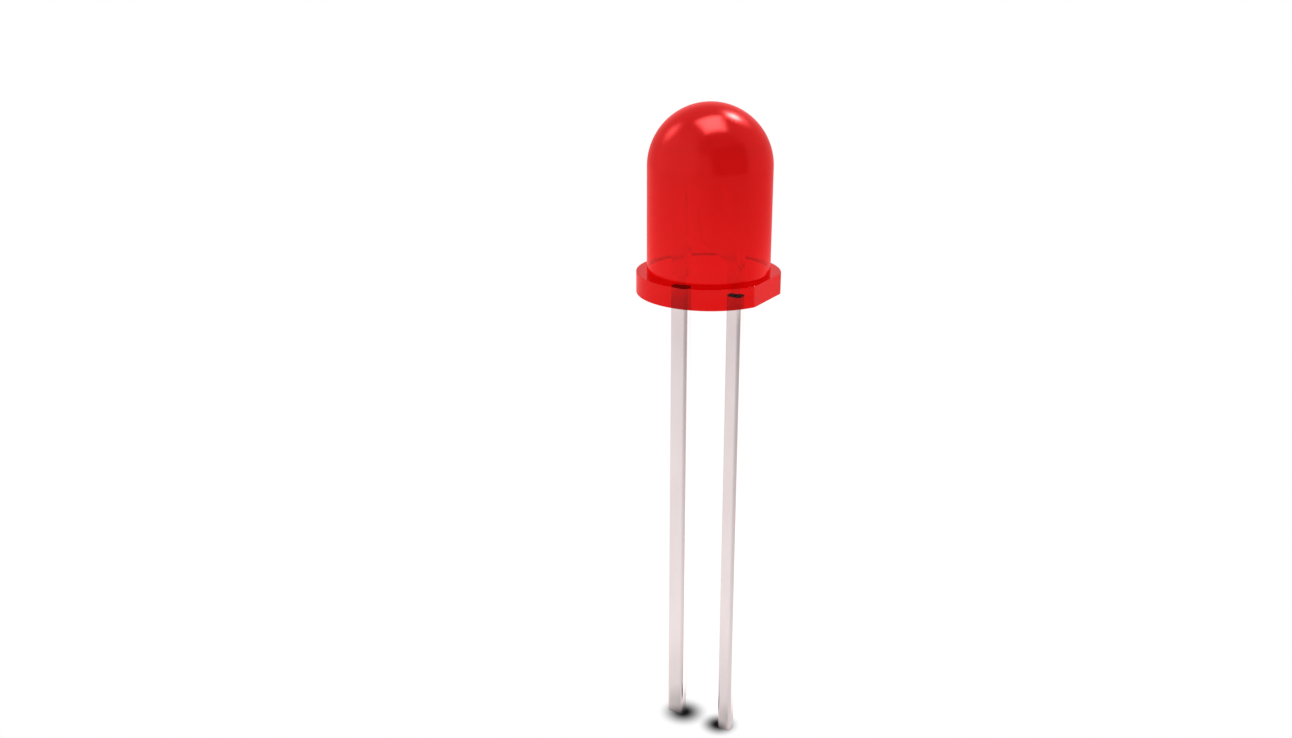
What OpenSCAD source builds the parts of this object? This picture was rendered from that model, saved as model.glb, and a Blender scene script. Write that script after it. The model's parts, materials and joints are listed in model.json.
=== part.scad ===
// A 5 mm through-hole LED: a tinted epoxy lens cast round a two-piece lead
// frame. The anode lead ends in a bonding post and the cathode lead in an anvil
// with a reflector cup, where the die sits under its bond wire.
// Frame: Z is the axis of the lens, pointing to the dome. The origin is the
// centre of the flange's underside, the plane that seats on a circuit board.
// The lead frame lies in the XZ plane, with the cathode on the +X side, where
// the flange has its flat.

/* [Lens] */
// Diameter of the barrel and of the dome on top of it
barrel_d = 5; // [4.2:0.1:6.2]
// Height of the barrel, from the flange's top to the start of the dome
barrel_h = 4.25; // [3.4:0.05:8]
// Thickness of the flange
flange_h = 0.85; // [0.7:0.05:1.5]
// How far the flange stands out from the barrel
flange_lip = 0.43; // [0.3:0.01:0.8]
// How far the cathode flat stands out from the barrel
flat_lip = 0.2; // [0.05:0.05:0.25]
// Rounding of the flange's two outer edges
flange_edge_r = 0.05; // [0.02:0.01:0.12]

/* [Leads] */
// Distance between the centres of the two leads
lead_pitch = 2.54; // [2:0.01:3.1]
// Thickness of the sheet that both leads are stamped from
sheet_t = 0.5; // [0.35:0.01:0.6]
// Width of the anode lead
anode_w = 0.78; // [0.45:0.01:0.8]
// Width of the cathode lead
cathode_w = 0.64; // [0.45:0.01:0.8]
// Length of the leads below the flange
lead_length = 20.4; // [3:0.1:30]
// Rounding of the four long edges of a lead
lead_edge_r = 0.15; // [0.02:0.01:0.17]
// How far a lead's full section reaches into the lens, up to its shoulder
lead_bite = 0.05; // [0.03:0.01:0.15]

/* [Lock necks] */
// Width of the neck that locks each lead in the epoxy
neck_w = 0.3; // [0.2:0.01:0.4]
// Thickness of the neck, which is coined thinner than the sheet
neck_t = 0.3; // [0.2:0.01:0.35]
// Height of the neck above the lead's shoulder
neck_h = 0.5; // [0.3:0.05:0.7]

/* [Reflector cup and anvil] */
// Height of the cup's rim above the flange's underside
cup_rim_z = 4.2; // [3.8:0.1:5.2]
// Depth of the cup
cup_depth = 0.36; // [0.3:0.02:0.5]
// Slope of the cup's wall, measured from the axis
cup_slope = 35; // [20:1:45]
// Width of the flat land round the cup's rim
cup_land = 0.1; // [0.05:0.01:0.2]
// Height of the round head that holds the cup
head_h = 0.65; // [0.6:0.05:0.9]
// Height of the cone between the head and the anvil's blade
head_cone_h = 0.3; // [0.1:0.05:0.4]
// Height at which the anvil's outer edge starts to lean in to the cup
anvil_shoulder_z = 2.2; // [1.8:0.1:2.6]
// Height of the anvil's toe, its lowest point on the anode side
anvil_toe_z = 2.1; // [1.9:0.1:2.5]
// How far the toe reaches past the axis to the anode side
anvil_toe_reach = 0.3; // [0:0.05:0.5]
// Height at which the underside of the anvil leaves its leg
anvil_heel_z = 1.3; // [1:0.1:1.7]

/* [Bonding post] */
// Clear gap between the post's head and the cup's head
post_gap = 0.32; // [0.2:0.02:0.5]
// Width of the post's head
post_head_w = 0.7; // [0.5:0.05:0.8]
// Height of the post's head, from where it leaves the leg to its top
post_head_h = 1.1; // [0.6:0.1:1.8]
// How far the post's top lies below the rim of the cup
post_drop = 0.2; // [0.1:0.05:0.5]

/* [Die and bond wire] */
// Side of the square die
die_w = 0.3; // [0.2:0.01:0.4]
// Height of the die
die_h = 0.2; // [0.12:0.01:0.26]
// Thickness of the conductive glue under the die
glue_t = 0.02; // [0.02:0.005:0.04]
// How far the glue spreads past the die's corners
glue_margin = 0.02; // [0.01:0.01:0.05]
// Clearance between the glue and the foot of the cup's wall
floor_margin = 0.05; // [0.02:0.01:0.1]
// Diameter of the bond wire
wire_d = 0.03; // [0.025:0.005:0.05]
// Diameter of the ball bond on the die
ball_d = 0.09; // [0.07:0.01:0.12]
// Height of the ball bond
ball_h = 0.03; // [0.02:0.005:0.05]
// Straight rise of the wire above the ball bond
wire_rise = 0.06; // [0.02:0.02:0.2]
// Bend radius where the wire turns towards the post
wire_bend_r = 0.3; // [0.2:0.02:0.4]
// Length of the flattened stitch bond on the post
stitch_l = 0.14; // [0.1:0.01:0.2]
// Width of the stitch bond
stitch_w = 0.07; // [0.05:0.01:0.1]

/* [Hidden] */

$fn = 96;
// Small overreach for cuts, so that no cut ends exactly on a face
eps = 0.01;

lens_color = [0.86, 0.12, 0.12];
lead_color = [0.87, 0.81, 0.81];
glue_color = [0.72, 0.71, 0.68];
die_color = [0.42, 0.36, 0.33];
wire_color = [0.93, 0.74, 0.35];

// Lens
barrel_r = barrel_d / 2;
flange_r = barrel_r + flange_lip;
flat_x = barrel_r + flat_lip;
dome_z = flange_h + barrel_h;

// Leads and the frame inside the lens
lead_x = lead_pitch / 2;
neck_top_z = lead_bite + neck_h;

// Reflector cup, sized outwards from the die that sits in it
glue_r = die_w * sqrt(2) / 2 + glue_margin;
cup_floor_r = glue_r + floor_margin;
cup_rim_r = cup_floor_r + cup_depth * tan(cup_slope);
head_r = cup_rim_r + cup_land;
head_z = cup_rim_z - head_h;
cup_floor_z = cup_rim_z - cup_depth;

// Bonding post, placed beside the cup's head
post_inner_x = -(head_r + post_gap);
post_outer_x = post_inner_x - post_head_w;
post_top_z = cup_rim_z - post_drop;
post_head_z = post_top_z - post_head_h;

// Die and bond wire
die_z = cup_floor_z + glue_t;
die_top_z = die_z + die_h;
ball_top_z = die_top_z + ball_h;
wire_r = wire_d / 2;
bend_z = ball_top_z + wire_rise;
stitch_x = (post_inner_x + post_outer_x) / 2;
// The long arc runs from the top of the loop down to the stitch bond
fall_dx = -stitch_x - wire_bend_r;
fall_dz = bend_z + wire_bend_r - (post_top_z + wire_r);
fall_angle = 2 * atan(fall_dz / fall_dx);
fall_r = fall_dx / sin(fall_angle);

// Half profile of the flange: a slab with its two outer edges rounded
module flange_profile() {
    r = flange_edge_r;
    square([flange_r - r, flange_h]);
    translate([0, r]) square([flange_r, flange_h - 2 * r]);
    for (z = [r, flange_h - r]) translate([flange_r - r, z]) circle(r);
}

// The flange, with its round side cut off by the cathode flat
module flange() {
    difference() {
        rotate_extrude() intersection() {
            flange_profile();
            square([2 * flange_r, flange_h]);
        }
        translate([flat_x, -flange_r, -eps])
            cube([flange_r, 2 * flange_r, flange_h + 2 * eps]);
    }
}

// Outer shape of the casting: flange, barrel and dome in one
module lens_shape() {
    flange();
    cylinder(r = barrel_r, h = dome_z);
    translate([0, 0, dome_z]) intersection() {
        sphere(r = barrel_r);
        translate([0, 0, barrel_r / 2])
            cube([2 * barrel_d, 2 * barrel_d, barrel_r], center = true);
    }
}

// A flat stamping in the XZ plane, centred on y = 0
module stamping(points, t) {
    translate([0, t / 2, 0]) rotate([90, 0, 0])
        linear_extrude(height = t) polygon(points);
}

// Section of a lead: the sheet's rectangle with its four corners rounded
module lead_section(w) {
    r = lead_edge_r;
    square([w, sheet_t - 2 * r], center = true);
    square([w - 2 * r, sheet_t], center = true);
    for (x = [r - w / 2, w / 2 - r], y = [r - sheet_t / 2, sheet_t / 2 - r])
        translate([x, y]) circle(r);
}

// The straight lead below the lens and its lock neck above the shoulder
module leg(x, w) {
    translate([x, 0, -lead_length])
        linear_extrude(height = lead_length + lead_bite) lead_section(w);
    translate([x - neck_w / 2, -neck_t / 2, lead_bite - eps])
        cube([neck_w, neck_t, neck_h + 2 * eps]);
}

// The blade that rises from the cathode's neck and leans in to the axis
module anvil_blade() {
    inner_x = lead_x - cathode_w / 2;
    outer_x = lead_x + cathode_w / 2;
    stamping([
        [inner_x, neck_top_z],
        [outer_x, neck_top_z],
        [outer_x, anvil_shoulder_z],
        [head_r - cup_land, head_z + eps],
        [cup_land - head_r, head_z + eps],
        [-anvil_toe_reach, anvil_toe_z],
        [inner_x, anvil_heel_z]
    ], sheet_t);
}

// The round coined head with its conical reflector cup
module cup_head() {
    difference() {
        union() {
            translate([0, 0, head_z]) cylinder(r = head_r, h = head_h);
            translate([0, 0, head_z - head_cone_h])
                cylinder(r1 = sheet_t / 2, r2 = head_r, h = head_cone_h);
        }
        translate([0, 0, cup_floor_z])
            cylinder(r1 = cup_floor_r, r2 = cup_rim_r, h = cup_depth);
    }
}

module lens_body() {
    color(lens_color) difference() {
        lens_shape();
        anode_lead();
        cathode_lead();
        die_attach();
        led_die();
        bond_wire();
    }
}

module anode_lead() {
    color(lead_color) {
        leg(-lead_x, anode_w);
        stamping([
            [-lead_x - anode_w / 2, neck_top_z],
            [-lead_x + anode_w / 2, neck_top_z],
            [-lead_x + anode_w / 2, post_head_z - anode_w / 2],
            [post_inner_x, post_head_z],
            [post_inner_x, post_top_z],
            [post_outer_x, post_top_z],
            [post_outer_x, post_head_z],
            [-lead_x - anode_w / 2, post_head_z - anode_w / 2]
        ], sheet_t);
    }
}

module cathode_lead() {
    color(lead_color) {
        leg(lead_x, cathode_w);
        anvil_blade();
        cup_head();
    }
}

module die_attach() {
    color(glue_color)
        translate([0, 0, cup_floor_z]) cylinder(r = glue_r, h = glue_t);
}

module led_die() {
    color(die_color)
        translate([-die_w / 2, -die_w / 2, die_z]) cube([die_w, die_w, die_h]);
}

// An arc of wire in the XZ plane, from the +X side towards the top and over
module wire_arc(r, angle) {
    rotate([90, 0, 0]) rotate_extrude(angle = angle)
        translate([r, 0]) circle(wire_r);
}

module bond_wire() {
    color(wire_color) {
        translate([0, 0, die_top_z]) cylinder(d = ball_d, h = ball_h);
        translate([0, 0, ball_top_z - eps]) cylinder(r = wire_r, h = wire_rise + eps);
        translate([-wire_bend_r, 0, bend_z]) wire_arc(wire_bend_r, 90);
        translate([-wire_bend_r, 0, bend_z + wire_bend_r - fall_r])
            rotate([0, -90, 0]) wire_arc(fall_r, fall_angle);
        translate([stitch_x - stitch_l / 2, -stitch_w / 2, post_top_z])
            cube([stitch_l, stitch_w, wire_d]);
    }
}

lens_body();
anode_lead();
cathode_lead();
die_attach();
led_die();
bond_wire();
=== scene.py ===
"""A red 5 mm through-hole LED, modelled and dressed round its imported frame.

The frame gives every place and most sizes. The lens, the two leads, the die glue,
the die and the bond wire are shaped here in millimetres, as on a bench, and are
then brought to metres, each in the place of its CAD node.
"""

from __future__ import annotations

import json
import logging
import math
from abc import ABC, abstractmethod
from collections.abc import Callable
from dataclasses import dataclass
from enum import Enum

import bmesh
import bpy
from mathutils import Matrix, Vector


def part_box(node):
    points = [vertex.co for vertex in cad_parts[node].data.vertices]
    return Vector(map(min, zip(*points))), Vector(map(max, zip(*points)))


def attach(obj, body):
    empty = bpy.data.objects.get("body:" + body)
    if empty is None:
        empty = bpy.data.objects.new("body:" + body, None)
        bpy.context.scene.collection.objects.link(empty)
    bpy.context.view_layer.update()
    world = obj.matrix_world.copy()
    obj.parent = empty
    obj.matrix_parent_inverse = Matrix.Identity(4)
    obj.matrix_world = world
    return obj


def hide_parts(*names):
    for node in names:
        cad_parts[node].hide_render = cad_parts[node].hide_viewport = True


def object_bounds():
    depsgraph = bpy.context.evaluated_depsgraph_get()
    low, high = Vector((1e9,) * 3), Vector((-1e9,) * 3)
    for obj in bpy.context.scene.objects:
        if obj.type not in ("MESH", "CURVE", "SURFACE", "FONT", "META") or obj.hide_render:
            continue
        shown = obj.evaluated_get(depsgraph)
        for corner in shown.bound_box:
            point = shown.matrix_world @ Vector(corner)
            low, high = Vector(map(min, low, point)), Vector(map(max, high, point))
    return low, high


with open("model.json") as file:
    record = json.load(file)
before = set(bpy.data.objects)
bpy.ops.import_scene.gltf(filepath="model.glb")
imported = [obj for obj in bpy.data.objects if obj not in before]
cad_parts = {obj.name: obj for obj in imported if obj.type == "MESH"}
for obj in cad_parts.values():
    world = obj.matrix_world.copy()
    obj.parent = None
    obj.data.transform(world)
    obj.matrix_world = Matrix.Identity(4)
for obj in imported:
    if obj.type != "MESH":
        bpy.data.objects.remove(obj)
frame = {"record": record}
CAD_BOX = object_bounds()

LOG = logging.getLogger("led")
MM = 0.001
BODY = "root"
UP = Vector((0.0, 0.0, 1.0))
LEG_WIDTHS = {"anode_lead": 0.78, "cathode_lead": 0.64}
UPRIGHT, FLAT, LEVEL = 0.9, 0.99, 0.1  # the Z of a unit vector that counts as such
HAIR = 0.01  # millimetres between two levels that are told apart
MERGE = 1e-4  # millimetres within which two points become one
EVEN = (1.0, 1.0, 1.0)  # no stretch, or white
NOISE_SPAN = (0.3, 0.7)  # what a noise seldom leaves

Test = Callable[[Vector, Vector], bool]
Colour = tuple[float, float, float]
Socket = bpy.types.NodeSocket
Number = float | Socket
Tint = Colour | Socket
Value = Number | Tint | Vector


# --- Sizes from the frame ---


@dataclass(frozen=True)
class Span:
    """The box of a CAD node, in millimetres."""

    low: Vector
    high: Vector

    @classmethod
    def of(cls, node: str) -> Span:
        """The box of the frame's node with that name."""
        low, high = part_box(node)
        return cls(low / MM, high / MM)


def barrel_mount() -> tuple[float, float, float]:
    """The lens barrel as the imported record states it.

    Returns:
        Its radius, its lower end and its upper end, in millimetres.
    """
    mounts = {m["name"]: m for m in frame["record"]["mounts"]}
    mount = mounts["lens_barrel"]
    middle = mount["pos_m"][2] / MM
    half = mount["dims"]["length_mm"] / 2
    return mount["dims"]["r_mm"], middle - half, middle + half


def leg_middle(node: str) -> float:
    """The X of the middle of a leg, whose +X edge is where its node's box ends."""
    return Span.of(node).high.x - LEG_WIDTHS[node] / 2


LENS_BOX, ANODE_BOX = Span.of("lens_body"), Span.of("anode_lead")
CATHODE_BOX, GLUE_BOX = Span.of("cathode_lead"), Span.of("die_attach")
DIE_BOX, WIRE_BOX = Span.of("led_die"), Span.of("bond_wire")
BARREL_R, FLANGE_TOP, DOME_START = barrel_mount()


# --- The bench: one mesh at a time, shaped in edit mode ---


class Kind(Enum):
    """What is picked on a mesh."""

    FACE = "FACE"
    EDGE = "EDGE"
    POINT = "VERT"


class Workpiece:
    """A mesh that is shaped in edit mode in millimetres and finished in metres."""

    def __init__(self, name: str) -> None:
        """Takes up the primitive that was just added.

        Args:
            name: The name of the finished object.
        """
        self.item = bpy.context.object
        self.item.name = self.item.data.name = name
        bpy.ops.object.transform_apply(location=True, rotation=True, scale=True)
        bpy.ops.object.mode_set(mode="EDIT")

    @staticmethod
    def clear_bench() -> None:
        """Deselects everything, the CAD nodes included."""
        bpy.ops.object.select_all(action="DESELECT")

    @classmethod
    def rod(
        cls, name: str, radius: float, low: float, high: float, sides: int
    ) -> Workpiece:
        """Starts a piece from an upright cylinder on the axis of the lens.

        Args:
            name: The name of the finished object.
            radius: The radius of the cylinder.
            low: The height of its lower end.
            high: The height of its upper end.
            sides: How many flats stand for the round side.

        Returns:
            The new workpiece.
        """
        cls.clear_bench()
        middle = UP * (low + high) / 2
        bpy.ops.mesh.primitive_cylinder_add(
            vertices=sides, radius=radius, depth=high - low, location=middle
        )
        return cls(name)

    @classmethod
    def block(cls, name: str, low: Vector, high: Vector) -> Workpiece:
        """Starts a piece from a block between two corners.

        Args:
            name: The name of the finished object.
            low: The lowest corner.
            high: The highest corner.

        Returns:
            The new workpiece.
        """
        cls.clear_bench()
        bpy.ops.mesh.primitive_cube_add(size=1, location=(low + high) / 2)
        bpy.context.object.scale = high - low
        return cls(name)

    @classmethod
    def hoop(cls, name: str, radius: float, centre: Vector, sides: int) -> Workpiece:
        """Starts a piece from an open ring that lies flat.

        Args:
            name: The name of the finished object.
            radius: The radius of the ring.
            centre: Its centre.
            sides: How many edges it has.

        Returns:
            The new workpiece.
        """
        cls.clear_bench()
        bpy.ops.mesh.primitive_circle_add(
            vertices=sides, radius=radius, location=centre
        )
        return cls(name)

    def pick(self, kind: Kind, test: Test) -> None:
        """Selects the faces, edges or points for which the test holds.

        Args:
            kind: What is picked.
            test: Takes the middle and the direction of each: a face's normal, an
                edge's unit vector or a point's normal.
        """
        bpy.ops.mesh.select_mode(type=kind.value)
        bpy.ops.mesh.select_all(action="DESELECT")
        mesh = bmesh.from_edit_mesh(self.item.data)
        if kind is Kind.FACE:
            for face in mesh.faces:
                face.select = test(face.calc_center_median(), face.normal)
        elif kind is Kind.EDGE:
            for edge in mesh.edges:
                start, end = edge.verts[0].co, edge.verts[1].co
                edge.select = test((start + end) / 2, (end - start).normalized())
        else:
            for point in mesh.verts:
                point.select = test(point.co, point.normal)
        mesh.select_flush_mode()
        bmesh.update_edit_mesh(self.item.data)

    def extrude(self, by: Vector) -> None:
        """Extrudes what is selected."""
        bpy.ops.mesh.extrude_region_move(TRANSFORM_OT_translate={"value": by})

    def rise(self, height: float) -> None:
        """Extrudes what is selected straight up, or down if the height is negative."""
        self.extrude(UP * height)

    def shift(self, by: Vector) -> None:
        """Moves what is selected."""
        bpy.ops.transform.translate(value=by)

    def scale(self, by: Vector, about: Vector) -> None:
        """Scales what is selected along each axis, about a point that stays."""
        bpy.ops.transform.resize(value=by, center_override=about)

    def flare(self, factor: float, about: Vector) -> None:
        """Scales what is selected in X and Y alone, about a point that stays."""
        self.scale(Vector((factor, factor, 1)), about)

    def inset(self, width: float) -> None:
        """Insets the selected faces by a width."""
        bpy.ops.mesh.inset(thickness=width, use_even_offset=True)

    def bevel(self, width: float, steps: int) -> None:
        """Rounds the selected edges to a width, in so many steps."""
        bpy.ops.mesh.bevel(offset=width, segments=steps, affect="EDGES")

    def slice_off(self, point: Vector, outward: Vector) -> None:
        """Cuts off what lies beyond a plane and closes the cut.

        Args:
            point: A point of the plane.
            outward: The normal of the plane, to the side that goes.
        """
        bpy.ops.mesh.select_all(action="SELECT")
        bpy.ops.mesh.bisect(
            plane_co=point, plane_no=outward,
            use_fill=True, clear_outer=True, threshold=MERGE / 10,
        )

    def spin(self, centre: Vector, axis: Vector, angle: float, steps: int) -> None:
        """Sweeps what is selected round an axis, in radians by the left-hand rule."""
        bpy.ops.mesh.spin(steps=steps, angle=angle, center=centre, axis=axis)

    def cap(self) -> None:
        """Closes the selected ring with a face."""
        bpy.ops.mesh.edge_face_add()

    def paint(self, slot: int) -> None:
        """Gives the selected faces a material.

        Args:
            slot: The number of the material on the object.
        """
        mesh = bmesh.from_edit_mesh(self.item.data)
        for face in mesh.faces:
            if face.select:
                face.material_index = slot
        bmesh.update_edit_mesh(self.item.data)

    def tidy(self) -> None:
        """Merges doubles and turns every face outwards."""
        bpy.ops.mesh.select_mode(type="VERT")
        bpy.ops.mesh.select_all(action="SELECT")
        bpy.ops.mesh.remove_doubles(threshold=MERGE)
        bpy.ops.mesh.normals_make_consistent(inside=False)
        bpy.ops.mesh.select_all(action="DESELECT")

    def leave(self) -> None:
        """Tidies the mesh and leaves edit mode, still in millimetres."""
        self.tidy()
        bpy.ops.object.mode_set(mode="OBJECT")

    def take_up(self) -> None:
        """Makes the piece the only selected object."""
        self.clear_bench()
        self.item.select_set(True)
        bpy.context.view_layer.objects.active = self.item

    def machine(self, kind: str, **settings: object) -> None:
        """Runs a modifier over the piece and applies it.

        Args:
            kind: The modifier's type.
            **settings: Its properties.
        """
        modifier = self.item.modifiers.new(kind, kind)
        for name, setting in settings.items():
            setattr(modifier, name, setting)
        bpy.ops.object.modifier_apply(modifier=modifier.name)

    def soften(self, width: float, steps: int, angle: float = 30.0) -> None:
        """Rounds every sharp edge.

        Args:
            width: The width of the round.
            steps: How many faces it takes.
            angle: The least angle in degrees that counts as sharp.
        """
        self.leave()
        sharp = {"limit_method": "ANGLE", "angle_limit": math.radians(angle)}
        self.machine("BEVEL", width=width, segments=steps, **sharp)
        bpy.ops.object.mode_set(mode="EDIT")

    def weld(self, other: Workpiece) -> None:
        """Joins a second workpiece to this one as a single solid.

        Args:
            other: The piece that is joined and used up.
        """
        self.take_up()
        self.machine("BOOLEAN", operation="UNION", solver="EXACT", object=other.item)
        bpy.data.objects.remove(other.item, do_unlink=True)
        bpy.ops.object.mode_set(mode="EDIT")

    def finish(self, smooth: float = 35.0) -> bpy.types.Object:
        """Smooths the rounds, keeps large faces true and brings the piece to metres.

        Args:
            smooth: The greatest angle in degrees between two faces of one round.

        Returns:
            The finished object.
        """
        self.leave()
        self.take_up()
        bpy.ops.object.shade_smooth_by_angle(angle=math.radians(smooth))
        self.machine("WEIGHTED_NORMAL", weight=100, keep_sharp=True)
        self.item.scale = (MM, MM, MM)
        bpy.ops.object.transform_apply(location=True, rotation=True, scale=True)
        return self.item


# --- Finishes ---


class Recipe:
    """A material under construction: its nodes and the links between them."""

    def __init__(self, home: bpy.types.Material | bpy.types.World) -> None:
        """Takes up a material or the world and empties its node tree.

        Args:
            home: The material or the world.
        """
        home.use_nodes = True
        self.home, self.tree = home, home.node_tree
        self.tree.nodes.clear()

    @classmethod
    def called(cls, name: str) -> Recipe:
        """Starts an empty material with that name."""
        return cls(bpy.data.materials.new(name))

    def node(
        self, kind: str, inputs: dict[str | int, Value] | None = None, **settings: str
    ) -> bpy.types.Node:
        """Adds a node.

        Args:
            kind: The node's type, without its ShaderNode prefix.
            inputs: What its sockets are given, by their names or numbers: numbers,
                colours, places or the outputs of other nodes.
            **settings: Properties of the node.

        Returns:
            The node.
        """
        node = self.tree.nodes.new("ShaderNode" + kind)
        for name, setting in settings.items():
            setattr(node, name, setting)
        for key, value in (inputs or {}).items():
            socket = node.inputs[key]
            if isinstance(value, bpy.types.NodeSocket):
                self.tree.links.new(value, socket)
            elif socket.type == "RGBA":
                socket.default_value = (*value, 1.0)
            else:
                socket.default_value = value
        return node

    def sum_up(self, operation: str, *terms: Number) -> Socket:
        """Works out a number by an operation of the Math node."""
        return self.node("Math", dict(enumerate(terms)), operation=operation).outputs[0]

    def times(self, *terms: Number) -> Socket:
        """The product of two numbers."""
        return self.sum_up("MULTIPLY", *terms)

    def place(self, stretch: Colour = EVEN) -> Socket:
        """The place on the piece, in metres, stretched along the axes."""
        own = self.node("TexCoord").outputs["Object"]
        return self.node("Mapping", {"Vector": own, "Scale": stretch}).outputs[0]

    def grain(self, size: float, detail: float = 3.0, stretch: Colour = EVEN) -> Socket:
        """A noise about a half, with clouds of a size in mm and finer layers."""
        cloud = {"Vector": self.place(stretch), "Scale": 1 / (size * MM)}
        return self.node("TexNoise", cloud | {"Detail": detail}).outputs["Fac"]

    def flakes(self, size: float) -> Socket:
        """Divides the piece into cells with a random shade each.

        Args:
            size: The size of the cells in millimetres.

        Returns:
            The socket with the shade, from 0 to 1.
        """
        cells = {"Vector": self.place(), "Scale": 1 / (size * MM)}
        shade = self.node("TexVoronoi", cells).outputs["Color"]
        return self.node("SeparateColor", {"Color": shade}).outputs["Red"]

    def ranged(
        self, value: Socket, start: float, end: float, low: float, high: float,
        smooth: bool = False,
    ) -> Socket:
        """Brings a value from one range to another.

        Args:
            value: The value.
            start: The value that becomes low.
            end: The value that becomes high.
            low: What start becomes.
            high: What end becomes.
            smooth: Whether it eases in and out.

        Returns:
            The socket with the new value.
        """
        inputs = dict(enumerate((value, start, end, low, high)))
        ease = "SMOOTHSTEP" if smooth else "LINEAR"
        return self.node("MapRange", inputs, interpolation_type=ease).outputs[0]

    def spread(self, noise: Socket, low: float, high: float) -> Socket:
        """Brings a noise to a range."""
        return self.ranged(noise, *NOISE_SPAN, low, high)

    def past(self, value: Socket, start: float, width: float) -> Socket:
        """Goes from 0 to 1 as a length passes from a start over a width, both in mm."""
        return self.ranged(value, start * MM, (start + width) * MM, 0.0, 1.0)

    def above(self, start: float, width: float) -> Socket:
        """Goes from 0 to 1 up the piece, from a height over a width, both in mm."""
        split = self.node("SeparateXYZ", {"Vector": self.place()})
        return self.past(split.outputs["Z"], start, width)

    def along(self, place: Socket, axis: Vector) -> Socket:
        """Measures a place or a direction along an axis."""
        terms = {0: place, 1: axis}
        return self.node("VectorMath", terms, operation="DOT_PRODUCT").outputs["Value"]

    def away_from(self, x: float = 0.0, y: float = 0.0) -> Socket:
        """Measures, in metres, how far the floor is from a point, given in mm."""
        ends = {0: self.place(), 1: Vector((x, y, 0)) * MM}
        return self.node("VectorMath", ends, operation="DISTANCE").outputs["Value"]

    def either(self, share: Number, first: Number, second: Number) -> Socket:
        """Mixes two numbers by the share of the second."""
        return self.node("Mix", {0: share, 2: first, 3: second}).outputs[0]

    def blend(
        self, share: Number, first: Tint, second: Tint, mode: str = "MIX"
    ) -> Socket:
        """Mixes two colours by the share of the second."""
        inputs = {0: share, 6: first, 7: second}
        return self.node("Mix", inputs, data_type="RGBA", blend_type=mode).outputs[2]

    def seen(self) -> Socket:
        """Tells rays that see a place, also through or mirrored, from those that light.

        Returns:
            The socket with 1 where the place is seen.
        """
        path = self.node("LightPath")
        share = path.outputs["Is Camera Ray"]
        for name in ("Is Glossy Ray", "Is Transmission Ray"):
            share = self.sum_up("MAXIMUM", share, path.outputs[name])
        return share

    def relief(self, height: Socket, depth: float) -> Socket:
        """Turns a height from 0 to 1 into a relief with a depth in micrometres."""
        inputs = {"Strength": 1.0, "Distance": depth * MM * MM, "Height": height}
        return self.node("Bump", inputs).outputs["Normal"]

    def principled(
        self, colour: Tint, roughness: Number, normal: Socket,
        metallic: float = 0.0, specular: float = 0.5,
    ) -> Socket:
        """The usual shader for an opaque finish.

        Args:
            colour: The base colour.
            roughness: The roughness.
            normal: The relief.
            metallic: The metallic share.
            specular: The specular level.

        Returns:
            The shader's output.
        """
        inputs = {"Base Color": colour, "Roughness": roughness, "Normal": normal}
        inputs |= {"Metallic": metallic, "Specular IOR Level": specular}
        return self.node("BsdfPrincipled", inputs).outputs[0]

    def mixed(self, share: Number, first: Socket, second: Socket) -> Socket:
        """Mixes two shaders by the share of the second."""
        return self.node("MixShader", {0: share, 1: first, 2: second}).outputs[0]

    def done(self, shader: Socket) -> bpy.types.Material:
        """Closes the recipe with its last shader and returns the material."""
        self.node("OutputMaterial", {"Surface": shader})
        return self.home


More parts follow.
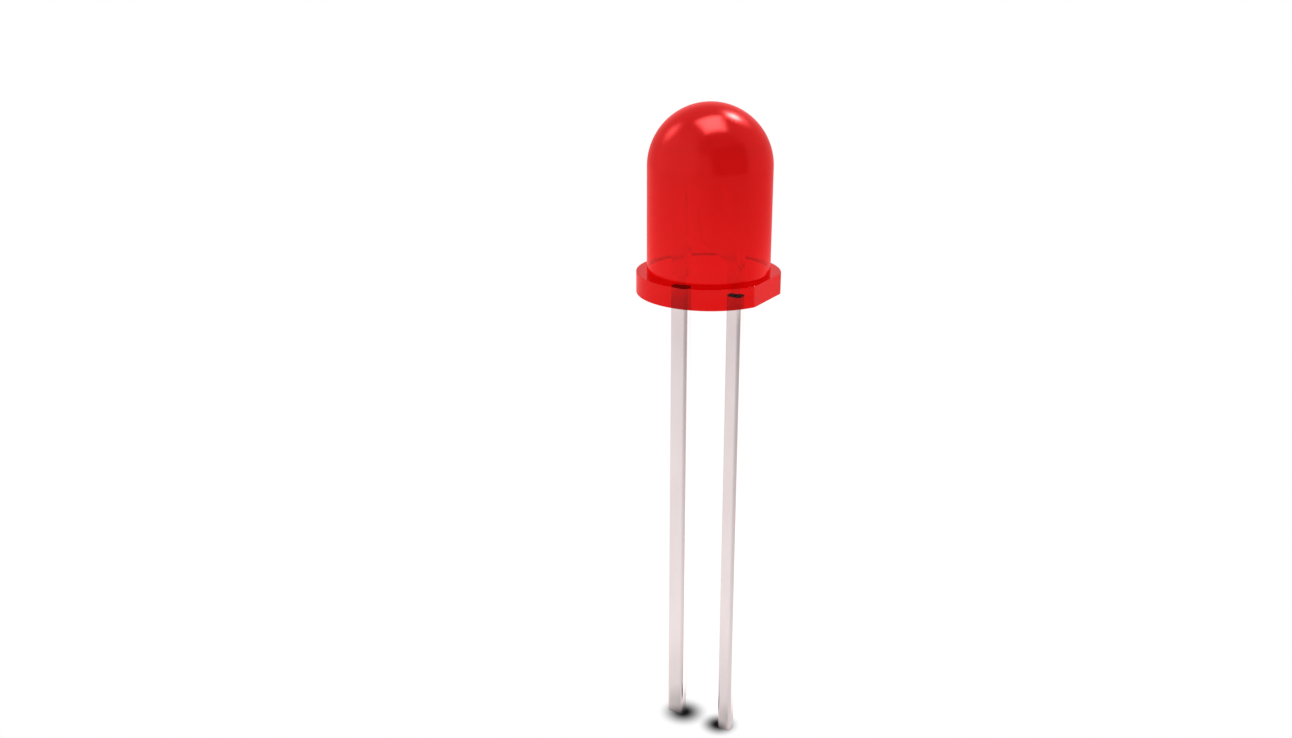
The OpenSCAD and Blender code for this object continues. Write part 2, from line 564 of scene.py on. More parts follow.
@dataclass(frozen=True)
class RedEpoxy:
    """Cast epoxy with a red dye: see-through, with a gloss that takes its tint, and
    painted shade on the flange.
    """

    clear: Colour = (0.84, 0.02, 0.02)
    deep: Colour = (0.735, 0.015, 0.015)
    clear_height: float = 1.5
    deepening: float = 4.5
    foot: Colour = (0.97, 0.022, 0.022)
    foot_height: float = 0.853
    step: float = 0.003
    thin: Colour = (1.0, 0.02, 0.02)
    thinning: float = 0.25
    thin_facing: tuple[float, float] = (0.2, 0.65)
    # Painted shade: a darker band over the flange's top and the barrel's foot, standing in
    # for a dark reflection there.
    painted_band: float = 0.8
    painted_band_low: float = 0.842
    painted_band_high: float = 0.93
    painted_band_fade: float = 0.02
    # Painted shade on the flange's underside, darkening the leads seen through it as if
    # shaded by the flange.
    painted_underside_shade: float = 0.95
    painted_underside_height: float = 0.001
    swirl_size: float = 1.8
    swirl: tuple[float, float] = (0.98, 1.0)
    gloss: Colour = (1.0, 0.097, 0.097)
    foot_gloss: Colour = (0.2, 0.097, 0.097)
    rim_gloss: Colour = (1.0, 0.25, 0.25)
    rim_power: float = 1.7
    least_gloss: float = 0.12
    gloss_power: float = 5.0
    haze_size: float = 0.9
    haze: tuple[float, float] = (0.15, 0.19)
    ripple_size: float = 0.35
    ripple_depth: float = 0.2

    def make(self) -> bpy.types.Material:
        """Builds the material.

        Returns:
            The material.
        """
        recipe = Recipe.called("dyed_epoxy")
        facing = recipe.node("LayerWeight").outputs["Facing"]
        above = recipe.above(self.foot_height, self.step)
        dye = self.dye(recipe, facing, above)
        dye = recipe.blend(1.0, dye, self.shade(recipe), "MULTIPLY")
        through = recipe.node("BsdfTransparent", {"Color": dye}).outputs[0]
        pale = recipe.sum_up("POWER", facing, self.rim_power)
        gloss = recipe.blend(above, self.foot_gloss, self.gloss)
        gloss = recipe.blend(pale, gloss, self.rim_gloss)
        haze = recipe.spread(recipe.grain(self.haze_size, 4.0), *self.haze)
        ripple = recipe.relief(recipe.grain(self.ripple_size, 2.0), self.ripple_depth)
        coat = {"Color": gloss, "Roughness": haze, "Normal": ripple}
        skin = recipe.node("BsdfGlossy", coat, distribution="GGX").outputs[0]
        steep = recipe.sum_up("POWER", facing, self.gloss_power)
        rest = 1 - self.least_gloss
        share = recipe.sum_up("MULTIPLY_ADD", steep, rest, self.least_gloss)
        return recipe.done(recipe.mixed(share, through, skin))

    def dye(self, recipe: Recipe, facing: Socket, above: Socket) -> Socket:
        """Colours what passes a wall: deeper at the dome, thin at the outline.

        Args:
            recipe: The recipe of the epoxy.
            facing: How far a face is turned away.
            above: Whether a place is above the flange.

        Returns:
            The socket with the colour.
        """
        depth = recipe.above(self.clear_height, self.deepening)
        dye = recipe.blend(above, self.foot, recipe.blend(depth, self.clear, self.deep))
        thin = recipe.ranged(facing, *self.thin_facing, 0.0, self.thinning)
        return recipe.blend(thin, dye, self.thin)

    def shade(self, recipe: Recipe) -> Socket:
        """Darkens the epoxy by swirls of tone, a painted shade band over the flange and
        painted shade underneath.

        Args:
            recipe: The recipe of the epoxy.

        Returns:
            The socket with the share of light that passes.
        """
        swirl = recipe.grain(self.swirl_size, 2.0, (1.0, 1.0, 0.6))
        swirl = recipe.spread(swirl, *self.swirl)
        # A painted shade band over the flange's top, in place of a dark reflection.
        start = recipe.above(self.painted_band_low, self.step)
        end = recipe.above(self.painted_band_high, self.painted_band_fade)
        painted_band = recipe.sum_up("SUBTRACT", start, end)
        shade = recipe.times(swirl, recipe.either(painted_band, 1.0, self.painted_band))
        # Painted shade on the underside, below which the leads lie in the flange's shade.
        off_underside = recipe.above(self.painted_underside_height, self.step)
        return recipe.times(shade, recipe.either(off_underside, self.painted_underside_shade, 1.0))


@dataclass(frozen=True)
class LeadPlating:
    """Tin outside the lens, painted near-black shade on the shoulder inside it, and silver
    above.
    """

    tin: Colour = (0.905, 0.795, 0.795)
    dull_tin: Colour = (0.845, 0.735, 0.735)
    silver: Colour = (0.95, 0.94, 0.92)
    # Painted shade: the shoulder where a lead enters the lens is near-black, standing in
    # for the shade there.
    painted_shade_black: Colour = (0.012, 0.01, 0.01)
    painted_shade_from: float = -0.03
    silver_from: float = 0.07
    silver_slant: float = 0.24
    metallic: float = 0.95
    polish: tuple[float, float] = (0.07, 0.11)
    polish_size: float = 0.4
    matte: float = 0.18
    step: float = 0.003
    plating_step: float = 0.005
    cloud_size: float = 1.2
    draw_lines: float = 0.03
    line_depth: float = 0.15

    def make(self) -> bpy.types.Material:
        """Builds the material.

        Returns:
            The material.
        """
        recipe = Recipe.called("tinned_frame")
        cloud = recipe.grain(self.cloud_size, 4.0, (1.0, 1.0, 0.35))
        lines = recipe.grain(self.draw_lines, 2.0, (1.0, 1.0, 0.02))
        tin = recipe.blend(recipe.spread(cloud, 0.0, 1.0), self.tin, self.dull_tin)
        slant = recipe.along(recipe.place(), Vector((0, self.silver_slant, 1)))
        inside = recipe.past(slant, self.silver_from, self.plating_step)
        plated = recipe.blend(inside, tin, self.silver)
        # Between the shoulder and the silver, painted near-black shade with no gloss.
        above = recipe.above(self.painted_shade_from, self.step)
        painted_shade_band = recipe.sum_up("SUBTRACT", above, inside)
        colour = recipe.blend(painted_shade_band, plated, self.painted_shade_black)
        rubbed = recipe.grain(self.polish_size, 4.0, (1.0, 1.0, 0.2))
        satin = recipe.spread(rubbed, *self.polish)
        satin = recipe.either(inside, satin, self.matte)
        satin = recipe.either(painted_shade_band, satin, 1.0)
        relief = recipe.relief(lines, self.line_depth)
        shader = recipe.principled(colour, satin, relief, metallic=self.metallic)
        return recipe.done(shader)


@dataclass(frozen=True)
class SilverGlue:
    """Glue filled with silver flake, matte and finely mottled."""

    bright: Colour = (0.80, 0.79, 0.76)
    binder: Colour = (0.50, 0.48, 0.45)
    flake: float = 0.012
    dullness: tuple[float, float] = (0.6, 0.4)
    depth: float = 2.0
    metallic: float = 0.5

    def make(self) -> bpy.types.Material:
        """Builds the material.

        Returns:
            The material.
        """
        recipe = Recipe.called("flake_glue")
        flakes = recipe.flakes(self.flake)
        colour = recipe.blend(flakes, self.binder, self.bright)
        rough = recipe.ranged(flakes, 0.0, 1.0, *self.dullness)
        relief = recipe.relief(recipe.grain(self.flake), self.depth)
        shader = recipe.principled(colour, rough, relief, metallic=self.metallic)
        return recipe.done(shader)


@dataclass(frozen=True)
class DieCrystal:
    """The die's crystal: dark red, polished on top, with sawn sides."""

    polished: Colour = (0.22, 0.10, 0.09)
    sawn: Colour = (0.34, 0.26, 0.24)
    saw_line: float = 0.01
    saw_depth: float = 1.0
    cloud: float = 0.05
    dullness: tuple[float, float] = (0.18, 0.4)
    specular: float = 0.8

    def make(self) -> bpy.types.Material:
        """Builds the material.

        Returns:
            The material.
        """
        recipe = Recipe.called("die_crystal")
        lines = recipe.grain(self.saw_line, 2.0, (0.15, 0.15, 1.0))
        colour = recipe.blend(recipe.spread(lines, 0.0, 1.0), self.polished, self.sawn)
        rough = recipe.spread(recipe.grain(self.cloud), *self.dullness)
        relief = recipe.relief(lines, self.saw_depth)
        shader = recipe.principled(colour, rough, relief, specular=self.specular)
        return recipe.done(shader)


@dataclass(frozen=True)
class DrawnGold:
    """Gold, as the die's contact and the bond wire have it."""

    bright: Colour = (1.0, 0.78, 0.36)
    deep: Colour = (0.90, 0.62, 0.22)
    cloud: float = 0.08
    die_marks: float = 0.02
    dullness: tuple[float, float] = (0.15, 0.3)
    grain: float = 0.008
    depth: float = 0.3

    def make(self) -> bpy.types.Material:
        """Builds the material.

        Returns:
            The material.
        """
        recipe = Recipe.called("drawn_gold")
        cloud = recipe.spread(recipe.grain(self.cloud), 0.0, 1.0)
        colour = recipe.blend(cloud, self.bright, self.deep)
        rough = recipe.spread(recipe.grain(self.die_marks, 2.0), *self.dullness)
        relief = recipe.relief(recipe.grain(self.grain, 2.0), self.depth)
        return recipe.done(recipe.principled(colour, rough, relief, metallic=1.0))


# --- The pieces ---


@dataclass
class Piece(ABC):
    """A modelled piece that stands for one CAD node, with sizes in millimetres."""

    finishes: tuple[bpy.types.Material, ...]
    name: str
    node: str
    slot: str

    @abstractmethod
    def shape(self) -> bpy.types.Object:
        """Models the piece and returns it finished, in metres."""

    def place(self) -> None:
        """Models and dresses the piece, and puts it in the place of its node."""
        item = self.shape()
        for finish in self.finishes:
            item.data.materials.append(finish)
        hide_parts(self.node)
        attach(item, BODY)
        LOG.info("%s: %d faces, for %s", self.name, len(item.data.polygons), self.node)


@dataclass
class Lens(Piece):
    """The epoxy casting: a flange with a flat, a barrel and a dome."""

    name: str = "epoxy_lens"
    node: str = "lens_body"
    slot: str = "red_epoxy"
    flange_r: float = LENS_BOX.high.y
    flat_x: float = LENS_BOX.high.x
    barrel_r: float = BARREL_R
    flange_top: float = FLANGE_TOP
    dome_start: float = DOME_START
    rim_round: float = 0.012
    foot_round: float = 0.008
    sides: int = 256
    dome_rings: int = 48

    def shape(self) -> bpy.types.Object:
        """Models the lens.

        Returns:
            The finished object.
        """
        work = Workpiece.rod(self.name, self.flange_r, 0, self.flange_top, self.sides)
        work.pick(Kind.FACE, lambda at, way: way.z > UPRIGHT)
        work.inset(self.flange_r - self.barrel_r)
        work.rise(self.dome_start - self.flange_top)
        self.raise_dome(work)
        self.round_rims(work)
        work.slice_off(Vector((self.flat_x, 0, 0)), Vector((1, 0, 0)))
        return work.finish()

    def raise_dome(self, work: Workpiece) -> None:
        """Closes the barrel with a half sphere, ring by ring.

        Args:
            work: The workpiece, with the barrel's top face selected.
        """
        centre = UP * self.dome_start
        for ring in range(self.dome_rings):
            low = ring * math.pi / 2 / self.dome_rings
            high = (ring + 1) * math.pi / 2 / self.dome_rings
            work.rise(self.barrel_r * (math.sin(high) - math.sin(low)))
            if ring < self.dome_rings - 1:
                work.flare(math.cos(high) / math.cos(low), centre)
        bpy.ops.mesh.merge(type="CENTER")

    def round_rims(self, work: Workpiece) -> None:
        """Rounds the flange's outer edges and the foot of the barrel.

        Args:
            work: The workpiece.
        """
        outer = self.flange_r - 2 * self.rim_round

        def on_rim(at: Vector, way: Vector) -> bool:
            """Whether an edge lies on the flange's outer rims."""
            return abs(way.z) < LEVEL and at.xy.length > outer

        def on_foot(at: Vector, way: Vector) -> bool:
            """Whether an edge lies where the barrel meets the flange."""
            level = abs(way.z) < LEVEL and abs(at.z - self.flange_top) < HAIR
            return level and at.xy.length < outer

        work.pick(Kind.EDGE, on_rim)
        work.bevel(self.rim_round, steps=3)
        work.pick(Kind.EDGE, on_foot)
        work.bevel(self.foot_round, steps=2)


@dataclass
class Lead(Piece):
    """What the two stamped leads have in common: a straight leg and a lock neck."""

    centre_x: float
    width: float
    tip: float
    sheet: float = 0.5
    edge_round: float = 0.15
    tip_round: float = 0.03
    bite: float = 0.01
    neck: float = 0.3
    neck_height: float = 0.5
    stamp_round: float = 0.004

    def leg(self) -> Workpiece:
        """Models the leg, its shoulder and its neck, up to the foot of the blade.

        Returns:
            The workpiece, with its top face picked at the lead's full section.
        """
        half = Vector((self.width / 2, self.sheet / 2, 0))
        middle = Vector((self.centre_x, 0, 0))
        low, high = middle - half + UP * self.tip, middle + half + UP * self.bite
        work = Workpiece.block(self.name, low, high)
        work.pick(Kind.EDGE, lambda at, way: abs(way.z) > UPRIGHT)
        work.bevel(self.edge_round, steps=8)
        work.pick(Kind.EDGE, lambda at, way: at.z < self.tip + HAIR / 10)
        work.bevel(self.tip_round, steps=2)
        self.pick_top(work)
        slim = Vector((self.neck / self.width, self.neck / self.sheet, 1))
        wide = Vector((1 / slim.x, 1 / slim.y, 1))
        work.rise(0)
        work.scale(slim, middle)
        work.rise(self.neck_height)
        work.rise(0)
        work.scale(wide, middle)
        return work

    def sides(self) -> tuple[float, float]:
        """The X of the leg's two narrow sides."""
        return self.centre_x - self.width / 2, self.centre_x + self.width / 2

    @staticmethod
    def pick_top(work: Workpiece) -> None:
        """Picks the piece's highest face.

        Args:
            work: The workpiece.
        """
        mesh = bmesh.from_edit_mesh(work.item.data)
        top = max(face.calc_center_median().z for face in mesh.faces)
        work.pick(Kind.FACE, lambda at, way: at.z > top - MERGE)

    @staticmethod
    def push_sides(
        work: Workpiece, top: float, split: float, left: Vector, right: Vector
    ) -> None:
        """Moves the two sides of the top section, each by its own way.

        Args:
            work: The workpiece.
            top: The height of the section.
            split: The X between its two sides.
            left: How the side with the lower X moves.
            right: How the side with the higher X moves.
        """
        level = top - HAIR
        work.pick(Kind.POINT, lambda at, way: at.z > level and at.x < split)
        work.shift(left)
        work.pick(Kind.POINT, lambda at, way: at.z > level and at.x >= split)
        work.shift(right)


@dataclass
class AnodeLead(Lead):
    """The lead with the bonding post."""

    name: str = "anode_frame"
    node: str = "anode_lead"
    slot: str = "plated_lead"
    centre_x: float = leg_middle("anode_lead")
    width: float = LEG_WIDTHS["anode_lead"]
    tip: float = ANODE_BOX.low.z
    post_x: float = ANODE_BOX.low.x
    post_width: float = 0.7
    post_top: float = ANODE_BOX.high.z
    post_height: float = 1.1

    def shape(self) -> bpy.types.Object:
        """Models the anode lead.

        Returns:
            The finished object.
        """
        work = self.leg()
        head = self.post_top - self.post_height
        blade_top = head - self.width / 2
        work.rise(blade_top - self.bite - self.neck_height)
        work.rise(head - blade_top)
        left, right = self.sides()
        self.push_sides(
            work, head, self.centre_x,
            Vector((self.post_x - left, 0, 0)),
            Vector((self.post_x + self.post_width - right, 0, 0)),
        )
        self.pick_top(work)
        work.rise(self.post_height)
        work.soften(self.stamp_round, steps=2)
        return work.finish()


@dataclass
class CathodeLead(Lead):
    """The lead with the anvil and the reflector cup."""

    name: str = "cathode_frame"
    node: str = "cathode_lead"
    slot: str = "plated_lead"
    centre_x: float = leg_middle("cathode_lead")
    width: float = LEG_WIDTHS["cathode_lead"]
    tip: float = CATHODE_BOX.low.z
    rim: float = CATHODE_BOX.high.z
    head_r: float = CATHODE_BOX.high.y
    head_height: float = 0.65
    cone_height: float = 0.3
    cup_depth: float = CATHODE_BOX.high.z - GLUE_BOX.low.z
    cup_land: float = 0.1
    glue_margin: float = 0.05
    heel: float = 1.3
    toe: float = 2.1
    toe_reach: float = 0.3
    outer_shoulder: float = 2.2
    cup_sides: int = 96

    def shape(self) -> bpy.types.Object:
        """Models the cathode lead.

        Returns:
            The finished object.
        """
        cup = self.cup()
        cup.leave()
        work = self.leg()
        self.raise_anvil(work)
        work.soften(self.stamp_round, steps=2)
        work.leave()
        work.weld(cup)
        return work.finish()

    def raise_anvil(self, work: Workpiece) -> None:
        """Draws the blade up from the neck and leans it in to the cup.

        Args:
            work: The workpiece, with the foot of the blade selected.
        """
        left, right = self.sides()
        work.rise(self.heel - self.bite - self.neck_height)
        work.rise(self.toe - self.heel)
        step = self.outer_shoulder - self.toe
        self.push_sides(
            work, self.toe, self.centre_x,
            Vector((-self.toe_reach - left, 0, 0)), UP * step,
        )
        work.pick(Kind.FACE, lambda at, way: way.z > UPRIGHT and at.z > self.toe - HAIR)
        top = self.rim - self.head_height
        work.rise(top - self.toe)
        inner = self.head_r - self.cup_land
        self.push_sides(
            work, top, self.centre_x - self.width,
            Vector((self.toe_reach - inner, 0, HAIR)),
            Vector((inner - right, 0, HAIR - step)),
        )

    def cup(self) -> Workpiece:
        """Models the round head with its reflector cup.

        Returns:
            The workpiece.
        """
        low = self.rim - self.head_height
        work = Workpiece.rod("cup_head", self.head_r, low, self.rim, self.cup_sides)
        centre = UP * self.rim
        work.pick(Kind.FACE, lambda at, way: way.z > UPRIGHT)
        work.inset(self.cup_land)
        work.rise(0)
        work.rise(-self.cup_depth)
        floor_r = GLUE_BOX.high.x + self.glue_margin
        work.flare(floor_r / (self.head_r - self.cup_land), centre)
        work.pick(Kind.FACE, lambda at, way: way.z < -UPRIGHT)
        work.rise(-self.cone_height)
        work.flare(self.sheet / 2 / self.head_r, centre)
        work.soften(self.stamp_round, steps=2, angle=25.0)
        return work


@dataclass
class DieAttach(Piece):
    """The pad of glue under the die, with a rounded shore."""

    name: str = "die_glue"
    node: str = "die_attach"
    slot: str = "silver_glue"
    radius: float = GLUE_BOX.high.x
    low: float = GLUE_BOX.low.z
    high: float = GLUE_BOX.high.z
    shore: float = 0.012
    sides: int = 64

    def shape(self) -> bpy.types.Object:
        """Models the glue.

        Returns:
            The finished object.
        """
        work = Workpiece.rod(self.name, self.radius, self.low, self.high, self.sides)
        middle = (self.low + self.high) / 2
        work.pick(Kind.EDGE, lambda at, way: at.z > middle and abs(way.z) < LEVEL)
        work.bevel(self.shore, steps=4)
        work.pick(Kind.FACE, lambda at, way: way.z > FLAT)
        work.inset(self.shore)
        return work.finish(smooth=60.0)


@dataclass
class LedDie(Piece):
    """The die: a sawn block with a saw step and a gold contact on top."""

    name: str = "die_chip"
    node: str = "led_die"
    slot: str = "semiconductor"
    half: float = DIE_BOX.high.x
    low: float = DIE_BOX.low.z
    high: float = DIE_BOX.high.z
    saw_step: float = 0.08
    step_in: float = 0.012
    contact: float = 0.055
    mesa: float = 0.006
    edge_round: float = 0.004

    def shape(self) -> bpy.types.Object:
        """Models the die, the gold of its contact being its second finish.

        Returns:
            The finished object.
        """
        side = Vector((self.half, self.half, 0))
        step = self.low + self.saw_step
        work = Workpiece.block(self.name, -side + UP * self.low, side + UP * step)
        work.pick(Kind.FACE, lambda at, way: way.z > UPRIGHT)
        work.inset(self.step_in)
        work.rise(self.high - self.mesa - step)
        work.inset(self.step_in)
        work.rise(self.mesa)
        work.inset(self.half - 2 * self.step_in - self.contact)
        work.paint(1)
        work.soften(self.edge_round, steps=2)
        return work.finish()


@dataclass
class BondWire(Piece):
    """The gold wire: a ball on the die, a loop, and a stitch on the post."""

    name: str = "bond_loop"
    node: str = "bond_wire"
    slot: str = "gold_wire"
    wire_r: float = 0.015
    ball_r: float = WIRE_BOX.high.x
    ball_foot: float = 0.8
    ball_crown: float = 0.85
    ball_height: float = 0.03
    foot: float = DIE_BOX.high.z
    seat: float = WIRE_BOX.low.z
    peak: float = WIRE_BOX.high.z
    end_x: float = WIRE_BOX.low.x
    straight: float = 0.06
    stitch: float = 0.14
    stitch_width: float = 0.07
    stitch_heel: float = 0.4
    stitch_tail: float = 0.5
    heel_press: tuple[float, float] = (0.2, 0.5)
    tail_press: tuple[float, float] = (0.6, 0.3)
    sides: int = 20

    def shape(self) -> bpy.types.Object:
        """Models the wire.

        Returns:
            The finished object.
        """
        centre = UP * self.foot
        layer = self.ball_height / 4
        foot_r, crown_r = self.ball_r * self.ball_foot, self.ball_r * self.ball_crown
        work = Workpiece.hoop(self.name, foot_r, centre, self.sides)
        bpy.ops.mesh.select_all(action="SELECT")
        work.cap()
        work.pick(Kind.EDGE, lambda at, way: True)
        for factor in (1 / self.ball_foot, 1, self.ball_crown, self.wire_r / crown_r):
            work.rise(layer)
            work.flare(factor, centre)
        work.rise(self.straight)
        self.loop(work)
        self.press_stitch(work)
        return work.finish(smooth=60.0)

    def loop(self, work: Workpiece) -> None:
        """Bends the wire over towards the post and down to it in one long arc.

        Args:
            work: The workpiece, with the end of the wire selected.
        """
        bend_z = self.foot + self.ball_height + self.straight
        top = self.peak - self.wire_r
        bend_r = top - bend_z
        axis = Vector((0, 1, 0))
        work.spin(Vector((-bend_r, 0, bend_z)), axis, math.pi / 2, steps=10)
        run = -self.end_x - self.stitch - bend_r
        drop = top - self.seat - self.wire_r
        angle = 2 * math.atan(drop / run)
        fall_r = run / math.sin(angle)
        work.spin(Vector((-bend_r, 0, top - fall_r)), axis, angle, steps=24)

    def press_stitch(self, work: Workpiece) -> None:
        """Presses the end of the wire flat on the post and closes it.

        Args:
            work: The workpiece, with the end of the wire selected.
        """
        wide = self.stitch_width / 2 / self.wire_r
        start = Vector((self.end_x + self.stitch, 0, self.seat))
        heel = Vector((-self.stitch * self.stitch_heel, 0, 0))
        along, up = self.heel_press
        work.extrude(heel)
        work.scale(Vector((along, wide, up)), start + heel)
        work.extrude(Vector((-self.stitch * self.stitch_tail, 0, 0)))
        work.scale(Vector((1, *self.tail_press)), start)
        work.cap()


# --- Camera, floor and light ---


@dataclass(frozen=True)
class ViewCamera:
    """The camera, placed round the axis of the lens. Lengths are in millimetres."""

    azimuth: float = 28.9
    distance: float = 50.253
    height: float = 14.213
    down: float = 19.3155
    aside: float = 2.886
    lens: float = 35.616
    sensor: float = 36.0

    def build(self) -> None:
        """Makes the camera and gives it to the scene."""
        turn = math.radians(self.azimuth)
        data = bpy.data.cameras.new("view")
        data.lens, data.sensor_width = self.lens, self.sensor
        data.clip_start, data.clip_end = MM, 10.0
        camera = bpy.data.objects.new("view", data)
        camera.location = (
            math.sin(turn) * self.distance * MM,
            -math.cos(turn) * self.distance * MM,
            self.height * MM,
        )
        camera.rotation_euler = (
            math.radians(90 - self.down), 0.0, math.radians(self.azimuth + self.aside),
        )
        bpy.context.scene.collection.objects.link(camera)
        bpy.context.scene.camera = camera


class Outline(Enum):
    """The outline of a patch of light, by how its two reaches are joined."""

    BOX = "MAXIMUM"
    OVAL = "HYPOTENUSE"


def towards(azimuth: float, elevation: float = 0.0) -> Vector:
    """A direction from the lens.

    Args:
        azimuth: Its bearing in degrees, 0 in front and 90 on the right.
        elevation: Its height above the horizon in degrees.

    Returns:
        The unit vector.
    """
    turn, lift = math.radians(azimuth), math.radians(elevation)
    level = math.cos(lift)
    return Vector((math.sin(turn) * level, -math.cos(turn) * level, math.sin(lift)))


@dataclass(frozen=True)
class Patch:
    """A soft patch of light or shade far away, mirrored in polished faces.

    Angles are in degrees, seen from the lens. The edge is the share of the half size
    over which the patch fades, to both sides of its outline.
    """

    name: str
    azimuth: float
    elevation: float
    half_across: float
    half_up: float
    radiance: float
    edge: float = 0.4
    outline: Outline = Outline.OVAL

    def over(self, recipe: Recipe, way: Socket, light: Number) -> Socket:
        """Lays the patch over the light that was there.

        Args:
            recipe: The recipe of the world.
            way: The direction that is looked in.
            light: The light without the patch.

        Returns:
            The socket with the new light.
        """
        face = towards(self.azimuth, self.elevation).to_track_quat("Z", "Y")
        ahead = recipe.sum_up("MAXIMUM", recipe.along(way, face @ UP), 1e-3)
        reaches = []
        for axis, half in (((1, 0, 0), self.half_across), ((0, 1, 0), self.half_up)):
            side = recipe.sum_up("ABSOLUTE", recipe.along(way, face @ Vector(axis)))
            width = recipe.times(ahead, math.tan(math.radians(half)))
            reaches.append(recipe.sum_up("DIVIDE", side, width))
        if self.outline is Outline.BOX:
            reach = recipe.sum_up("MAXIMUM", *reaches)
        else:
            squares = [recipe.times(term, term) for term in reaches]
            reach = recipe.sum_up("SQRT", recipe.sum_up("ADD", *squares))
        inner, outer = 1 - self.edge, 1 + self.edge
        share = recipe.ranged(reach, inner, outer, 1.0, 0.0, smooth=True)
        change = recipe.sum_up("SUBTRACT", self.radiance, light)
        return recipe.sum_up("MULTIPLY_ADD", share, change, light)


@dataclass(frozen=True)
class SoftLamp:
    """A square lamp that faces the piece. Its light is mirrored as a patch instead."""

    azimuth: float = -40.0
    elevation: float = 53.0
    distance: float = 200.0
    side: float = 60.0
    watts: float = 0.18

    def build(self, centre: Vector) -> None:
        """Makes the lamp.

        Args:
            centre: The point it faces, in metres.
        """
        data = bpy.data.lights.new("soft_lamp", "AREA")
        data.shape, data.size, data.energy = "SQUARE", self.side * MM, self.watts
        way = towards(self.azimuth, self.elevation)
        lamp = bpy.data.objects.new("soft_lamp", data)
        lamp.location = centre + way * self.distance * MM
        lamp.rotation_euler = way.to_track_quat("Z", "Y").to_euler()
        lamp.visible_camera = lamp.visible_glossy = False
        bpy.context.scene.collection.objects.link(lamp)


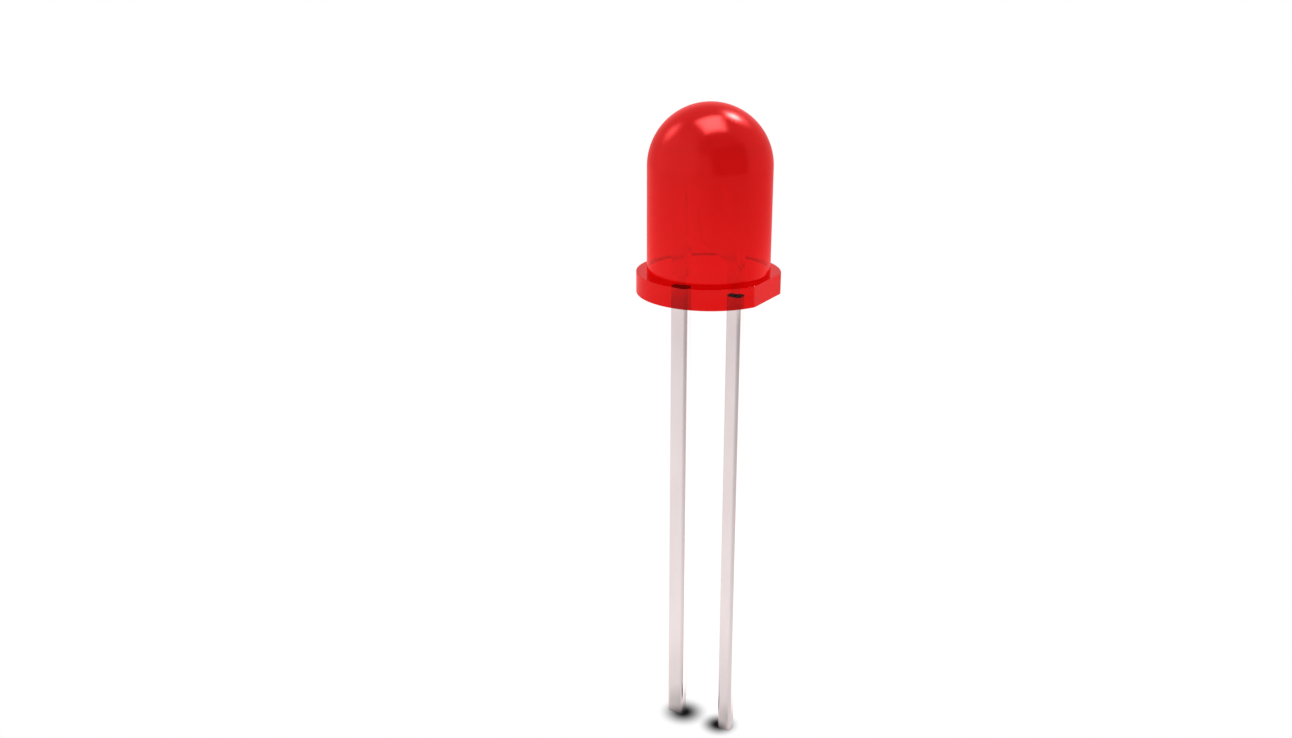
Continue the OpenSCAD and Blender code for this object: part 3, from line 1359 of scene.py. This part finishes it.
@dataclass(frozen=True)
class Floor:
    """A white floor at the tips of the leads, with a soft contact shade.

    Lengths are in millimetres.
    """

    radius: float = 165.0
    sides: int = 96
    matte: float = 0.8
    contact_reach: float = 1.56
    contact_core: float = 0.15
    contact_light: float = 0.01
    contact_lean: float = 0.34
    tip_shade: float = 0.6
    tip_reach: float = 1.67
    dim_shade: float = 0.885
    dim_reach: float = 6.8
    tip_lead: float = 1.2
    bay_azimuth: float = 75.0
    bay_depth: float = 0.2
    bay_lean: float = 0.42
    bay_span: tuple[float, float] = (-0.2, 1.0)
    bay_reach: float = 64.0
    bay_growth: float = 0.45
    bay_end: float = 69.0
    bay_edge: float = 2.0
    ring_azimuth: float = -30.0
    ring_light: tuple[float, float] = (0.92, 1.42)
    ring_end: float = 86.0
    ring_edge: float = 6.0
    far_azimuth: float = 100.0
    far_light: tuple[float, float] = (1.1, 0.85)
    far_span: tuple[float, float] = (-0.2, 0.4)
    back_azimuth: float = 151.0
    back_light: float = 0.65
    back_from: float = 0.8
    under: float = 0.51
    under_from: float = 58.0
    through: float = 1.16
    through_from: float = 73.0
    through_edge: float = 4.0

    def lay(self) -> None:
        """Lays the floor."""
        Workpiece.clear_bench()
        bpy.ops.mesh.primitive_circle_add(
            vertices=self.sides, radius=self.radius * MM,
            fill_type="NGON", location=UP * CAD_BOX[0].z,
        )
        floor = bpy.context.object
        floor.name = "floor"
        floor.data.materials.append(self.paint())

    def paint(self) -> bpy.types.Material:
        """Builds the floor's material: white where it is seen, matte where it lights.

        Returns:
            The material.
        """
        recipe = Recipe.called("white_floor")
        shade = self.contact(recipe)
        path = recipe.node("LightPath")
        direct = recipe.sum_up("LESS_THAN", path.outputs["Transparent Depth"], 0.5)
        light = self.mirrored_light(recipe)
        mirrored = recipe.either(direct, self.indirect_light(recipe, light), light)
        glow = recipe.either(path.outputs["Is Glossy Ray"], 1.0, mirrored)
        glow, pale = recipe.times(shade, glow), recipe.times(shade, self.matte)
        bright = recipe.node("Emission", {"Strength": glow}).outputs[0]
        matte = recipe.node("BsdfDiffuse", {"Color": pale}).outputs[0]
        return recipe.done(recipe.mixed(recipe.seen(), matte, bright))

    def indirect_light(self, recipe: Recipe, light: Socket) -> Socket:
        """The light of the floor in a mirror that is seen through the epoxy.

        Args:
            recipe: The floor's recipe.
            light: The light of the floor in a mirror that is seen openly.

        Returns:
            The socket with the radiance, dimmer in a ring under the flange.
        """
        out = recipe.away_from()
        start = recipe.past(out, self.under_from, self.through_edge)
        near = recipe.sum_up("SUBTRACT", 1.0, start)
        far = recipe.past(out, self.through_from, self.through_edge)
        plain = recipe.sum_up("MAXIMUM", near, far)
        return recipe.either(plain, recipe.times(light, self.under), self.through)

    def contact(self, recipe: Recipe) -> Socket:
        """The shade round the foot of each lead, deepest between the two.

        Args:
            recipe: The floor's recipe.

        Returns:
            The socket with the share of light that is left.
        """
        light: Number = 1.0
        for node, width in LEG_WIDTHS.items():
            middle = leg_middle(node)
            leant = middle - math.copysign(self.contact_lean, middle)
            core, reach = self.contact_core * MM, self.contact_reach * width * MM
            away = recipe.away_from(leant)
            rest = recipe.ranged(
                away, core, reach, self.contact_light, 1.0, smooth=True
            )
            light = recipe.times(light, rest)
        return light

    def mirrored_light(self, recipe: Recipe) -> Socket:
        """The light of the floor in a mirror: a shaded bay, a bright ring, the rest.

        Args:
            recipe: The floor's recipe.

        Returns:
            The socket with the radiance.
        """
        out = recipe.away_from()
        inner = self.bay(recipe, out)
        back = self.bearing(recipe, out, self.back_azimuth)
        glow = recipe.ranged(back, self.back_from, 1.0, 0.0, self.back_light)
        at_ring = recipe.past(out, self.bay_end, self.bay_edge)
        front = self.bearing(recipe, out, self.ring_azimuth)
        bright = recipe.ranged(front, -1.0, 0.0, *self.ring_light)
        ring = recipe.either(at_ring, inner, bright)
        near = recipe.sum_up("ADD", ring, glow)
        side = self.bearing(recipe, out, self.far_azimuth)
        far = recipe.ranged(side, *self.far_span, *self.far_light)
        return recipe.either(recipe.past(out, self.ring_end, self.ring_edge), near, far)

    def bay(self, recipe: Recipe, out: Socket) -> Socket:
        """The shade round the leads: deeper on one side, further out and at the tips.

        Args:
            recipe: The floor's recipe.
            out: How far a place is from the axis of the lens.

        Returns:
            The socket with the radiance.
        """
        side = self.bearing(recipe, out, self.bay_azimuth)
        depth = recipe.ranged(side, *self.bay_span, 0.0, self.bay_lean)
        reach = recipe.sum_up("DIVIDE", out, self.bay_reach * MM)
        growth = recipe.sum_up("POWER", reach, self.bay_growth)
        front = recipe.times(reach, self.bay_depth)
        shade = recipe.sum_up("MULTIPLY_ADD", depth, growth, front)
        light = recipe.sum_up("SUBTRACT", 1.0, shade)
        dim: Number = 1.0
        for node in LEG_WIDTHS:
            away = recipe.away_from(leg_middle(node), -self.tip_lead)
            tip = recipe.ranged(away, 0.0, self.tip_reach * MM, self.tip_shade, 1.0)
            light = recipe.sum_up("MINIMUM", light, tip)
            wide = recipe.ranged(away, 0.0, self.dim_reach * MM, self.dim_shade, 1.0)
            dim = recipe.times(dim, wide)
        return recipe.times(light, dim)

    @staticmethod
    def bearing(recipe: Recipe, out: Socket, azimuth: float) -> Socket:
        """The cosine of the angle between a place's bearing and another, in degrees."""
        side = recipe.along(recipe.place(), towards(azimuth))
        return recipe.sum_up("DIVIDE", side, recipe.sum_up("MAXIMUM", out, MM * MM))


@dataclass(frozen=True)
class Studio:
    """The floor, the lamp and the surroundings that polished faces mirror."""

    fill: float = 0.6
    around: float = 0.95
    floor: Floor = Floor()
    lamp: SoftLamp = SoftLamp()
    patches: tuple[Patch, ...] = (
        Patch("left_wall", -40.0, 12.0, 46.0, 42.0, 1.3),
        Patch("dim_ceiling", 52.0, 48.0, 38.0, 22.0, 0.66, 0.35),
        Patch("back_wall", -151.0, 18.0, 26.0, 16.0, 1.3, 0.5),
        Patch("dark_card", 67.0, 17.0, 35.5, 26.5, 0.46, 0.2, Outline.BOX),
        Patch("left_strip", -88.0, 35.0, 7.5, 9.5, 5.6, 1.0),
        Patch("hot_glow", 173.0, 46.0, 10.0, 10.5, 6.5, 1.0),
        Patch("hot_spot", 173.0, 49.0, 5.2, 5.4, 54.0, 1.0),
        Patch("top_window", 140.0, 88.2, 15.6, 15.6, 12.4, 0.38, Outline.BOX),
    )

    def build(self) -> None:
        """Makes the surroundings, the floor and the lamp."""
        bpy.context.scene.view_settings.view_transform = "Standard"
        self.surround()
        self.floor.lay()
        self.lamp.build(Vector((0, 0, CAD_BOX[1].z / 2)))

    def surround(self) -> None:
        """Makes the surroundings: white where they are seen, plain where they light."""
        world = bpy.data.worlds.new("surround")
        bpy.context.scene.world = world
        recipe = Recipe(world)
        path = recipe.node("LightPath")
        way = recipe.node("TexCoord").outputs["Generated"]
        light: Number = self.around
        for patch in self.patches:
            light = patch.over(recipe, way, light)
            LOG.info("studio: mirrors the %s", patch.name)
        direct = recipe.sum_up("LESS_THAN", path.outputs["Transparent Depth"], 0.5)
        mirrored = recipe.either(direct, self.floor.through, light)
        plain = recipe.either(recipe.seen(), self.fill, 1.0)
        glow = recipe.either(path.outputs["Is Glossy Ray"], plain, mirrored)
        white = {"Color": EVEN, "Strength": glow}
        backdrop = recipe.node("Background", white).outputs[0]
        recipe.node("OutputWorld", {"Surface": backdrop})


def main() -> None:
    """Builds the studio and the pieces, in order."""
    logging.basicConfig(level=logging.INFO, format="%(name)s: %(message)s")
    ViewCamera().build()
    Studio().build()
    plating, gold = LeadPlating().make(), DrawnGold().make()
    pieces: tuple[Piece, ...] = (
        Lens((RedEpoxy().make(),)),
        AnodeLead((plating,)),
        CathodeLead((plating,)),
        DieAttach((SilverGlue().make(),)),
        LedDie((DieCrystal().make(), gold)),
        BondWire((gold,)),
    )
    for piece in pieces:
        piece.place()


if __name__ == "__main__":
    main()
